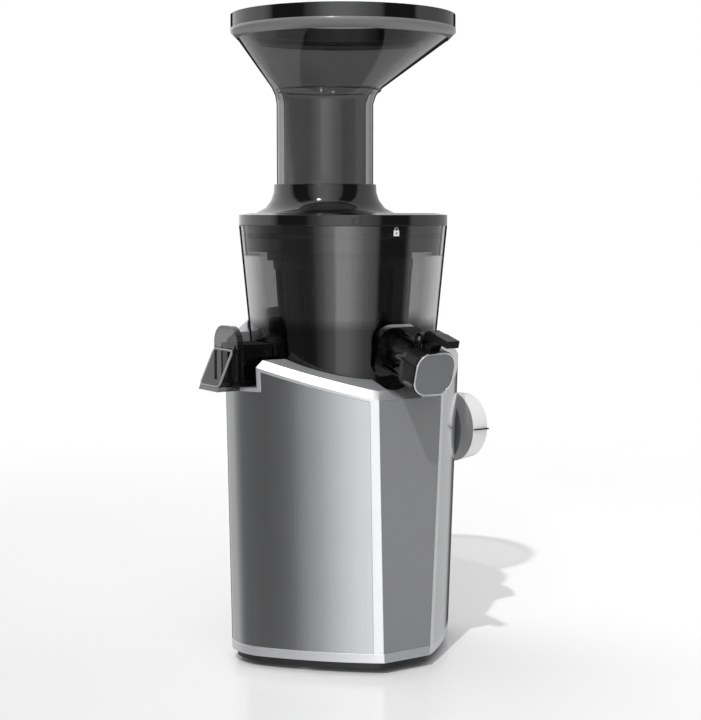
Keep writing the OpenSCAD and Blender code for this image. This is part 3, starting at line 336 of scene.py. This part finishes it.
def read_all(items, field, width, kind=float):
    """One field of all items of a mesh, as an array with width numbers to a row."""
    values = np.empty(len(items) * width, kind)
    items.foreach_get(field, values)
    return values.reshape(-1, width)


def soften(mesh, reach):
    """Gives every corner the mean normal of the faces that turn less than a fold from its own.
    Each counts by its area times a bell curve of its distance in plan, reach wide."""
    corner_face = np.repeat(np.arange(len(mesh.polygons)), 3)
    normal = read_all(mesh.polygons, "normal", 3)[corner_face]
    area = read_all(mesh.polygons, "area", 1)[corner_face, 0]
    at = read_all(mesh.loops, "vertex_index", 1, np.int32)[:, 0]
    place = read_all(mesh.vertices, "co", 3)[at]
    apart = np.linalg.norm(place[:, None, :2] - place[None, :, :2], axis=2)
    weight = np.exp(-(apart / reach) ** 2) * (normal @ normal.T > math.cos(FOLD))
    mean = (weight * area) @ normal
    mean /= np.linalg.norm(mean, axis=1)[:, None]
    mesh.normals_split_custom_set(mean.tolist())
    print(f"{mesh.name}: {len(at)} corners shaded evenly")


print(f"a steel corner takes the mean over about {STEEL_REACH / MM:.0f} mm")

# %% [markdown]
# ## Joining loose triangles
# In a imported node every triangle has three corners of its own, so nothing tells Blender that two
# of them meet, and a round wall shows its facets. The node's own mesh could be joined, but it
# has to stay as it was packed. So a copy is made, and points that lie together become one.

# %% Helper for a joined copy
JOIN_WITHIN = 0.01 * MM
IMPORT_MARKS = ("custom_normal", "sharp_edge", "sharp_face")


def joined_copy(node):
    """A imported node's mesh with points that lie together made one, free of import marks."""
    bm = bmesh.new()
    bm.from_mesh(frame["nodes"][node].data)
    bmesh.ops.remove_doubles(bm, verts=bm.verts, dist=JOIN_WITHIN)
    mesh = bpy.data.meshes.new(node + "_skin")
    bm.to_mesh(mesh)
    bm.free()
    for mark in IMPORT_MARKS:
        if mark in mesh.attributes:
            mesh.attributes.remove(mesh.attributes[mark])
    return mesh


print(f"points less than {JOIN_WITHIN / MM:.2f} mm apart become one")

# %% [markdown]
# ## Skins
# A skin is such a joined copy in its finish. Joined faces can be shaded smooth. Splitting the
# mesh at its edges would keep them crisp, but marking an edge sharp where it turns more than a
# set angle does the same and leaves the mesh whole, so a round wall looks round and a rim keeps
# its edge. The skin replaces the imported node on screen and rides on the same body.

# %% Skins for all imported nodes
SHARP_FROM = math.radians(32)


def skin(node):
    """Puts a smooth skin, in the node's finish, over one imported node."""
    mesh = joined_copy(node)
    mesh.materials.clear()
    mesh.materials.append(LOOK[node])
    mesh.polygons.foreach_set("material_index", np.zeros(len(mesh.polygons), np.int32))
    mesh.polygons.foreach_set("use_smooth", np.ones(len(mesh.polygons), bool))
    mesh.set_sharp_from_angle(angle=SHARP_FROM)
    if node in ("left_panel", "right_panel"):
        soften(mesh, STEEL_REACH)
    obj = bpy.data.objects.new(node + "_skin", mesh)
    bpy.context.scene.collection.objects.link(obj)
    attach(obj, body_of[node])
    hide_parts(node)
    return obj


skins = [skin(node) for node in LOOK]
print(len(skins), "skins with", sum(len(s.data.polygons) for s in skins), "triangles")

# %% [markdown]
# ## The small details
# What is left is thin: lines, lips and marks that lie on the solids. Each could be modelled by
# hand, but nearly all of them are one of three things: a round bar bent along a path, an outline
# turned about an axis as on a lathe, or a flat badge wrapped on a round wall. Each of these is a
# formula over whole arrays of points, so a changed size only changes a number. Sizes are in
# millimetres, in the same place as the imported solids.

# %% Helper for a new piece
def piece(name, points, faces, mat, body, slot, smooth=True):
    """Makes a visible piece from points in mm, each times a thousandth, and hangs it on a body."""
    mesh = bpy.data.meshes.new(name)
    mesh.from_pydata((np.asarray(points) * MM).tolist(), [], faces)
    mesh.polygons.foreach_set("use_smooth", np.full(len(mesh.polygons), smooth))
    mesh.materials.append(mat)
    mesh.update()
    obj = bpy.data.objects.new(name, mesh)
    bpy.context.scene.collection.objects.link(obj)
    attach(obj, body)
    print(f"{name}: {len(mesh.vertices)} points, {len(mesh.polygons)} faces, on {body}")


# %% [markdown]
# ## A round bar along a path
# Trim lines and ring-shaped joints are round bars that close on themselves. A curve object with
# a round section could draw them. Worked out as a grid of points, with one row for each point of
# the path, such a bar is a plain mesh from the start, and its seam is closed by counting: the
# last row is followed by the first.

# %% Helpers for a bar
def turns(count):
    """Angles of so many even steps round a full turn."""
    return np.linspace(0, 2 * np.pi, count, endpoint=False)


def closed_grid(rows, columns):
    """The faces of a grid that closes on itself both ways, as four arrays of point numbers: a
    point, the next in its row, and the points beside those two in the next row."""
    i, j = np.divmod(np.arange(rows * columns), columns)
    here, there = i * columns, (i + 1) % rows * columns
    after = (j + 1) % columns
    return here + j, here + after, there + after, there + j


def sweep(path, radius, around=8):
    """A round bar along a closed flat path. Round each point of the path runs a circle: radius
    times cosine across the path, plus radius times sine along the normal of the path's plane."""
    ahead = np.roll(path, -1, 0) - np.roll(path, 1, 0)
    ahead /= np.linalg.norm(ahead, axis=1)[:, None]
    flat = np.cross(path[1] - path[0], path[len(path) // 3] - path[0])
    flat /= np.linalg.norm(flat)
    side = np.cross(ahead, flat)
    t = turns(around)[None, :, None]
    points = path[:, None] + radius * (np.cos(t) * side[:, None] + np.sin(t) * flat)
    return points.reshape(-1, 3), np.stack(closed_grid(len(path), around), -1).tolist()


print("a closed grid of 4 by 3 points has", len(closed_grid(4, 3)[0]), "faces")

# %% [markdown]
# ## Bright line round the spout's cap
# The cap's grey face plate is framed by a thin polished line. It is a bar bent along the plate's
# outline. The spout slopes down, so its points are given in the spout's own directions, across,
# up and outwards, and are then turned into place. That keeps the sizes plain.

# %% Cap line
SPOUT_SLOPE = math.radians(15.4)
SPOUT_ROOT = np.array([0, -59.774, 202.5])
ACROSS = np.array([1.0, 0, 0])
UP = np.array([0, -math.sin(SPOUT_SLOPE), math.cos(SPOUT_SLOPE)])
OUTWARDS = np.array([0, -math.cos(SPOUT_SLOPE), -math.sin(SPOUT_SLOPE)])
CAP_WIDE, CAP_HIGH, CAP_CORNER, CAP_OUT = 28.2, 26.2, 9.1, 43.9
CAP_BAR = 0.55


def rounded_box(width, height, corner, steps=8):
    """The outline of a box with round corners: from the first corner on, a quarter circle about
    each corner's centre, and the straight sides are the gaps between them."""
    x, y = width / 2 - corner, height / 2 - corner
    centre = np.array([(x, y), (-x, y), (-x, -y), (x, -y)])[:, None]
    start = np.array([0, 90, 180, 270])[:, None]
    t = np.radians(start + np.linspace(0, 90, steps))
    return (centre + corner * np.stack([np.cos(t), np.sin(t)], -1)).reshape(-1, 2)


across, up = rounded_box(CAP_WIDE, CAP_HIGH, CAP_CORNER).T[:, :, None]
cap_line = SPOUT_ROOT + across * ACROSS + up * UP + CAP_OUT * OUTWARDS
piece("cap_rim", *sweep(cap_line, CAP_BAR), chrome, "cap", "chrome_ring")

# %% [markdown]
# ## Bars on the lid's band
# Two short upright bars on the lid's band show how the lid goes on. Marks like these are often a
# picture on the wall. Here they are thin badges of real geometry, so they stay sharp at any
# distance. A badge is drawn flat and then wrapped on the round wall, a little sunk into it so
# that no gap shows behind.

# %% Lid bars
BADGE_SUNK = 0.3
LID_BAND_R, BARS_Z = 68.1, 283.7
BARS_AZIMUTH, BAR_ASIDE = -115.8, 1.9
BAR_WIDE, BAR_HIGH, BAR_THICK = 1.2, 5.2, 0.7


def badge(azimuth, radius, z, outline, thick):
    """A flat outline of (sideways, up) points wrapped on an upright round wall: sideways over the
    radius is the turn from the azimuth. One copy is sunk in the wall and one stands out of it."""
    sideways, up = np.array(outline, float).T
    turn = math.radians(azimuth) + sideways / radius
    out = radius + np.array([[-BADGE_SUNK], [thick]])
    points = np.stack([out * np.cos(turn), out * np.sin(turn), z + up + 0 * out], -1)
    i = np.arange(len(sideways))
    after, outer = (i + 1) % len(i), i + len(i)
    sides = np.stack([i, after, after + len(i), outer], -1).tolist()
    return points.reshape(-1, 3), [outer.tolist(), i[::-1].tolist()] + sides


def box_outline(width, low, high):
    """The four corners of an upright box, from its lower left one."""
    return np.array([(-width / 2, low), (width / 2, low), (width / 2, high), (-width / 2, high)])


bar = box_outline(BAR_WIDE, -BAR_HIGH / 2, BAR_HIGH / 2)
for k, side in enumerate((-1, 1)):
    points, faces = badge(BARS_AZIMUTH + side * BAR_ASIDE, LID_BAND_R, BARS_Z, bar, BAR_THICK)
    piece(f"lid_tab_{k}", points, faces, black, "lid", "black_plastic", smooth=False)

# %% [markdown]
# ## Padlock on the bowl
# A small white padlock below the bowl's rim shows where the lid locks. It is made of three
# badges: a box, a bow whose outline runs along an outer and back along an inner half circle, and
# a keyhole. The keyhole is a hair thicker than the box, so it lies on top without a cut.

# %% Padlock
white_mark = solid("white_mark", (0.8, 0.8, 0.8), 0.5)
LOCK_AT = (-93.8, 67.75, 276.3)
LOCK_WIDE, LOCK_LOW, LOCK_TOP = 3.9, -2.4, 1.1
BOW_OUTER, BOW_INNER, BOW_UP, BOW_FOOT, BOW_POINTS = 1.45, 0.8, 1.7, 1.0, 11
HOLE_HALF_WIDE, HOLE_HALF_HIGH, HOLE_UP, HOLE_POINTS = 0.5, 0.6, -0.6, 12
PRINT_THICK, HOLE_THICK = 0.12, 0.2


def half_circle(radius, start, end):
    """Points of the bow: radius times cosine sideways, and radius times sine above its centre."""
    t = np.linspace(start, end, BOW_POINTS)
    return np.stack([radius * np.cos(t), BOW_UP + radius * np.sin(t)], -1)


lock = box_outline(LOCK_WIDE, LOCK_LOW, LOCK_TOP)
bow = np.vstack([
    [(BOW_OUTER, BOW_FOOT)], half_circle(BOW_OUTER, 0, np.pi),
    [(-BOW_OUTER, BOW_FOOT), (-BOW_INNER, BOW_FOOT)], half_circle(BOW_INNER, np.pi, 0),
    [(BOW_INNER, BOW_FOOT)]])
t = turns(HOLE_POINTS)
keyhole = np.stack([HOLE_HALF_WIDE * np.cos(t), HOLE_UP + HOLE_HALF_HIGH * np.sin(t)], -1)
for name, outline, thick, mat, slot in (
        ("lock_body", lock, PRINT_THICK, white_mark, "plate_metal"),
        ("lock_arch", bow, PRINT_THICK, white_mark, "plate_metal"),
        ("lock_keyhole", keyhole, HOLE_THICK, black, "black_plastic")):
    piece(name, *badge(*LOCK_AT, outline, thick), mat, "bowl", slot, smooth=False)

# %% [markdown]
# ## Knob pointer
# A black line along the knob's bright ring points at the setting. It could be a dark stripe in
# the ring's finish, but a narrow ridge keeps sharp edges at any distance. Its eight corners say
# all there is to it. The ring narrows towards its face and the ridge doesn't, so the ridge comes
# out of the ring on the way. It rides on the knob and turns with it.

# %% Knob pointer
POINTER_X, POINTER_Y, POINTER_Z = (90.4, 103.2), (-24.6, -20.5), (140.55, 141.45)
BOX_FACES = [(0, 1, 3, 2), (4, 6, 7, 5), (0, 4, 5, 1), (2, 3, 7, 6), (0, 2, 6, 4), (1, 5, 7, 3)]

corners = np.stack(np.meshgrid(POINTER_X, POINTER_Y, POINTER_Z, indexing="ij"), -1)
piece("knob_pointer", corners.reshape(-1, 3), BOX_FACES, black, "knob", "black_plastic",
      smooth=False)

# %% [markdown]
# ## Frame of the pulp hood's pane
# The slanted front of the pulp hood is a pane in a paler frame. The frame is again a bar along a
# box with round corners. It leans with the pane: the higher a point is, the nearer it is to the
# bowl, in a fixed proportion, so the lean is one number in the formula for x.

# %% Hood frame
frame_grey = solid("frame_grey", (0.24, 0.24, 0.24), 0.35, edge=0)
PANE_WIDE, PANE_HIGH, PANE_CORNER = 23.8, 22.2, 2.5
PANE_X, PANE_Z, PANE_LEAN = -94.7, 191.5, 0.457
PANE_BAR = 0.8

across, up = rounded_box(PANE_WIDE, PANE_HIGH, PANE_CORNER).T
pane = np.stack([PANE_X + PANE_LEAN * up, across, PANE_Z + up], -1)
piece("hood_frame", *sweep(pane, PANE_BAR), frame_grey, "bowl", "hood_plastic")

# %% [markdown]
# ## Strainer rim and funnel lip
# The strainer ends in a plain upright rim under the lid. Round the funnel runs a grey lip, which
# covers the bevel under the rim's upright band. Both are rings about the bowl's axis, so a lathe
# is the natural tool: the section is drawn once, as points of radius and height, and turned.

# %% Strainer rim and funnel lip
lip_grey = solid("lip_grey", (0.2, 0.2, 0.2), 0.2, edge=0)
STRAINER_RIM = [(45.2, 256.5), (45.2, 262.6), (44.6, 262.6), (44.6, 256.5)]
FUNNEL_LIP = [(72.6, 403.95), (68.2, 400.0), (68.55, 399.9), (72.9, 404.05), (72.9, 406.3),
              (72.6, 406.4)]


def lathe(section, around=192):
    """A closed outline of (radius, height) points turned about the bowl's axis. At each angle a
    point lies at radius times cosine, radius times sine, and its height."""
    radius, height = np.array(section, float).T
    t = turns(around)[:, None]
    points = np.stack([radius * np.cos(t), radius * np.sin(t), height + 0 * t], -1)
    a, b, c, d = closed_grid(around, len(section))
    return points.reshape(-1, 3), np.stack([a, d, c, b], -1).tolist()


piece("strainer_rim", *lathe(STRAINER_RIM), dark, "bowl", "black_plastic")
piece("funnel_lip", *lathe(FUNNEL_LIP), lip_grey, "hopper", "black_plastic")

# %% [markdown]
# ## Joint of the hopper
# Where the feeding tube opens into the funnel the plastic is thick and looks like a dark line.
# Refraction would draw it, and this plastic has none, so a thin bar bent to a circle stands for
# it. The funnel has begun to lean forward there, so the circle's centre lies behind the bowl's
# axis, but not quite as far back as the tube's.

# %% Hopper joint
JOINT_R, JOINT_Y, JOINT_Z, JOINT_POINTS = 35.15, 18.9, 368.4, 96
JOINT_BAR = 0.45

t = turns(JOINT_POINTS)
joint = np.stack([JOINT_R * np.cos(t), JOINT_Y + JOINT_R * np.sin(t), JOINT_Z + 0 * t], -1)
piece("hopper_joint", *sweep(joint, JOINT_BAR), black, "hopper", "black_plastic")

# %% [markdown]
# ## The tones of the studio
# Gloss and metal show what stands around them, so the studio is painted with care. The upright
# bands on the bowl, the lid and the steel are soft boxes and dark cards at certain points of the
# compass. They could be modelled as lamps and boards. Here each is a tone in a list over the
# compass, which is quicker to tune. WALLS holds above the horizon, and LOW just below it, which
# is what a wall mirrors when it is seen from a little above. Farther down comes one tone for the
# table, and at the top a bright ceiling.

# %% Studio tones
WALLS = [(-180, 0.06), (-164, 0.06), (-160, 0.26), (-151, 0.50), (-142, 0.95), (-134, 1.15),
         (-119, 1.20), (-98, 0.75), (-84, 0.45), (-80, 0.06), (-47, 0.06), (-42, 0.60),
         (0, 0.55), (50, 0.55), (72, 1.1), (110, 1.1), (150, 0.9), (158, 0.5), (163, 0.06)]
LOW = [(-180, 0.127), (-165, 0.115), (-159.5, 0.14), (-156.4, 0.18), (-155.2, 0.30),
       (-151.8, 0.37), (-147.9, 0.50), (-144, 0.68), (-138, 0.89), (-134, 1.0), (-130, 1.7),
       (-118, 1.7), (-98, 0.75), (-84, 0.45), (-80, 0.06), (-47, 0.06), (-42, 0.60),
       (0, 0.55), (38, 0.55), (42, 0.04), (72, 0.04), (78, 0.52), (90, 0.55), (123, 0.5),
       (132, 0.36), (141, 0.24), (151, 0.16), (170, 0.135)]
HORIZON = (-0.03, -0.075)
TABLE_TONE, TABLE_BAND = 0.65, (-0.35, -0.6)
CEILING_TONE, CEILING_BAND = 1.25, (0.80, 0.93)
print(len(WALLS), "tones on the walls and", len(LOW), "below the horizon")

# %% [markdown]
# ## A compass for the world
# A world can be an image wrapped round the scene. These tones need none: the direction of a ray
# gives its angle on the compass, which reads a list of tones, and its height, which chooses
# between the lists.

# %% Compass and heights
world = bpy.data.worlds.new("studio")
bpy.context.scene.world = world
world.use_nodes = True
studio = world.node_tree
studio.nodes.clear()
direction = add_node(studio, "TexCoord").outputs["Generated"]
x, y, z = add_node(studio, "SeparateXYZ", {0: direction}).outputs
PER_TURN, HALF_TURN = 1 / (2 * math.pi), 0.5
share_of_turn = add_node(studio, "Math", {0: calc(studio, "ARCTAN2", y, x), 1: PER_TURN,
                                          2: HALF_TURN}, operation="MULTIPLY_ADD").outputs[0]


def compass(tones):
    """Brightness over the compass: a colour ramp with a stop at each (degrees, brightness), read
    by the direction's angle as a share of a full turn."""
    node = add_node(studio, "ValToRGB", {0: share_of_turn})
    stops = node.color_ramp.elements
    while len(stops) > 1:
        stops.remove(stops[-1])
    stops[0].position = 0.0
    stops[0].color = (*[tones[0][1]] * 3, 1)
    for degrees, tone in tones[1:]:
        stops.new((degrees + 180) / 360).color = (*[tone] * 3, 1)
    return node.outputs["Color"]


def layer(below, above, start, end):
    """Goes over from one colour to another between two heights on the unit sphere."""
    return add_node(studio, "Mix", {"Factor": ramp(studio, z, start, end), "A": below,
                                    "B": above}, data_type="RGBA").outputs["Result"]


print("the middle of the compass, 0 degrees, is read at", HALF_TURN, "of the ramp")

# %% [markdown]
# ## What is seen where
# The layers go on one after the other: walls, then what lies below the horizon, the table and
# the ceiling. The mirrors of the juicer see all that. If the camera saw it too, the background
# would be striped. So rays that come straight from the camera get plain white.

# %% World
sky = layer(compass(WALLS), compass(LOW), *HORIZON)
sky = layer(sky, (*[TABLE_TONE] * 3, 1), *TABLE_BAND)
sky = layer(sky, (*[CEILING_TONE] * 3, 1), *CEILING_BAND)
room = add_node(studio, "Background", {"Color": sky}).outputs[0]
white = add_node(studio, "Background", {"Color": (1, 1, 1, 1)}).outputs[0]
eye = add_node(studio, "LightPath").outputs["Is Camera Ray"]
seen = add_node(studio, "MixShader", {0: eye, 1: room, 2: white}).outputs[0]
add_node(studio, "OutputWorld", {"Surface": seen})
print(len(studio.nodes), "nodes make the world")

# %% [markdown]
# ## Key light
# One hard lamp stands high in front on the left. An area lamp could do it, but then the shadow
# would change with its distance. The light of a sun lamp is parallel, so only its direction
# counts, and its small angle gives the shadow a slightly soft edge. The shadow falls to the
# right and back.

# %% Key light
KEY_STRENGTH = 1.5
KEY_ANGLE = math.radians(1.2)
KEY_LEAN, KEY_TURN = math.radians(36.5), math.radians(-50)

lamp = bpy.data.lights.new("key", "SUN")
lamp.energy = KEY_STRENGTH
lamp.angle = KEY_ANGLE
key = bpy.data.objects.new("key", lamp)
key.rotation_euler = (KEY_LEAN, 0, KEY_TURN)
bpy.context.scene.collection.objects.link(key)
print("the key light stands", round(90 - math.degrees(KEY_LEAN), 1), "degrees above the floor")

# %% [markdown]
# ## Floor
# The juicer stands on a pale glossy sheet that takes its shadow and a faint mirror image. A
# photographer would bend the sheet up into a backdrop. A flat sheet will do here, because its
# far part can be faded out. Its grey gets a little paler to the right and back, which is painted
# light: the sheet is made to look more brightly lit there. It is a dot product of the place with
# that direction.

# %% Floor sheet
VIEW_TURN = math.radians(33.2)
FLOOR_SIZE, FLOOR_Z = 30, -0.2 * MM
# painted light: the floor's grey is raised per metre towards the right and back, so the sheet
# looks more brightly lit there
FLOOR_GREY, PAINTED_LIGHT_RIGHT, PAINTED_LIGHT_BACK = 0.842, 0.46, 0.13
FLOOR_ROUGH, FLOOR_MIRROR = 0.16, 0.15

bpy.ops.mesh.primitive_plane_add(size=FLOOR_SIZE, location=(0, 0, FLOOR_Z))
floor = bpy.context.object
floor.name = "floor"
floor_mat, tree, floor_out = new_material("floor")
where = add_node(tree, "TexCoord").outputs["Object"]
right_and_back = (PAINTED_LIGHT_RIGHT * math.cos(VIEW_TURN) + PAINTED_LIGHT_BACK * math.sin(VIEW_TURN),
                  PAINTED_LIGHT_BACK * math.cos(VIEW_TURN) - PAINTED_LIGHT_RIGHT * math.sin(VIEW_TURN), 0)
# painted light: a paler grey to the right and back, where the sheet is to look more brightly lit
paler = add_node(tree, "VectorMath", {0: where, 1: right_and_back}, operation="DOT_PRODUCT")
grey = add_node(tree, "Math", {0: paler.outputs["Value"], 1: FLOOR_GREY}, use_clamp=True)
near = add_node(tree, "BsdfPrincipled", {
    "Base Color": grey.outputs[0], "Roughness": FLOOR_ROUGH,
    "Specular IOR Level": FLOOR_MIRROR}).outputs[0]
print("the floor is paler by", round(math.hypot(PAINTED_LIGHT_RIGHT, PAINTED_LIGHT_BACK), 2), "per metre")

# %% [markdown]
# ## Where the floor ends
# In a studio picture the floor melts into the white behind it. So with distance from the juicer
# the sheet goes over to something that the camera sees as plain white, and that all other light
# passes through, which keeps it from lighting anything. The sheet isn't seen in mirrors either,
# so the steel shows the tones that the world has there.

# %% Floor fade
FADE_FROM, FADE_TO = 0.45, 1.1

clear = add_node(tree, "BsdfTransparent").outputs[0]
glow = add_node(tree, "Emission", {"Color": (1, 1, 1, 1)}).outputs[0]
eye = add_node(tree, "LightPath").outputs["Is Camera Ray"]
far = add_node(tree, "MixShader", {0: eye, 1: clear, 2: glow}).outputs[0]
distance = add_node(tree, "VectorMath", {0: where}, operation="LENGTH").outputs["Value"]
fade = add_node(tree, "MapRange", {"Value": distance, "From Min": FADE_FROM,
                                   "From Max": FADE_TO}, interpolation_type="SMOOTHSTEP")
both = add_node(tree, "MixShader", {0: fade.outputs["Result"], 1: near, 2: far}).outputs[0]
tree.links.new(both, floor_out.inputs["Surface"])
floor.data.materials.append(floor_mat)
floor.visible_glossy = False
print("the floor fades out between", FADE_FROM, "and", FADE_TO, "m from the bowl's axis")

# %% [markdown]
# ## Camera
# The camera stands about a metre away, level with the top of the lid, and looks down by some
# five degrees. It could be placed by eye until the outline fits. It was worked out from edges
# and circles instead, since each of them tells one thing: upright edges that lean together give
# the tilt, and how flat the rims look gives the height.

# %% Camera
SENSOR_MM, LENS_MM = 36, 81.09
CAMERA_AT = (-0.5643, -0.8712, 0.2882)
CAMERA_TILT = math.radians(84.68)

cam_data = bpy.data.cameras.new("camera")
cam_data.sensor_fit = "HORIZONTAL"
cam_data.sensor_width = SENSOR_MM
cam_data.lens = LENS_MM
cam = bpy.data.objects.new("camera", cam_data)
cam.location = CAMERA_AT
cam.rotation_euler = (CAMERA_TILT, 0, -VIEW_TURN)
bpy.context.scene.collection.objects.link(cam)
bpy.context.scene.camera = cam
bpy.context.scene.view_settings.view_transform = "Standard"
print("the camera stands", round(math.hypot(*CAMERA_AT[:2]), 2), "m from the bowl's axis")
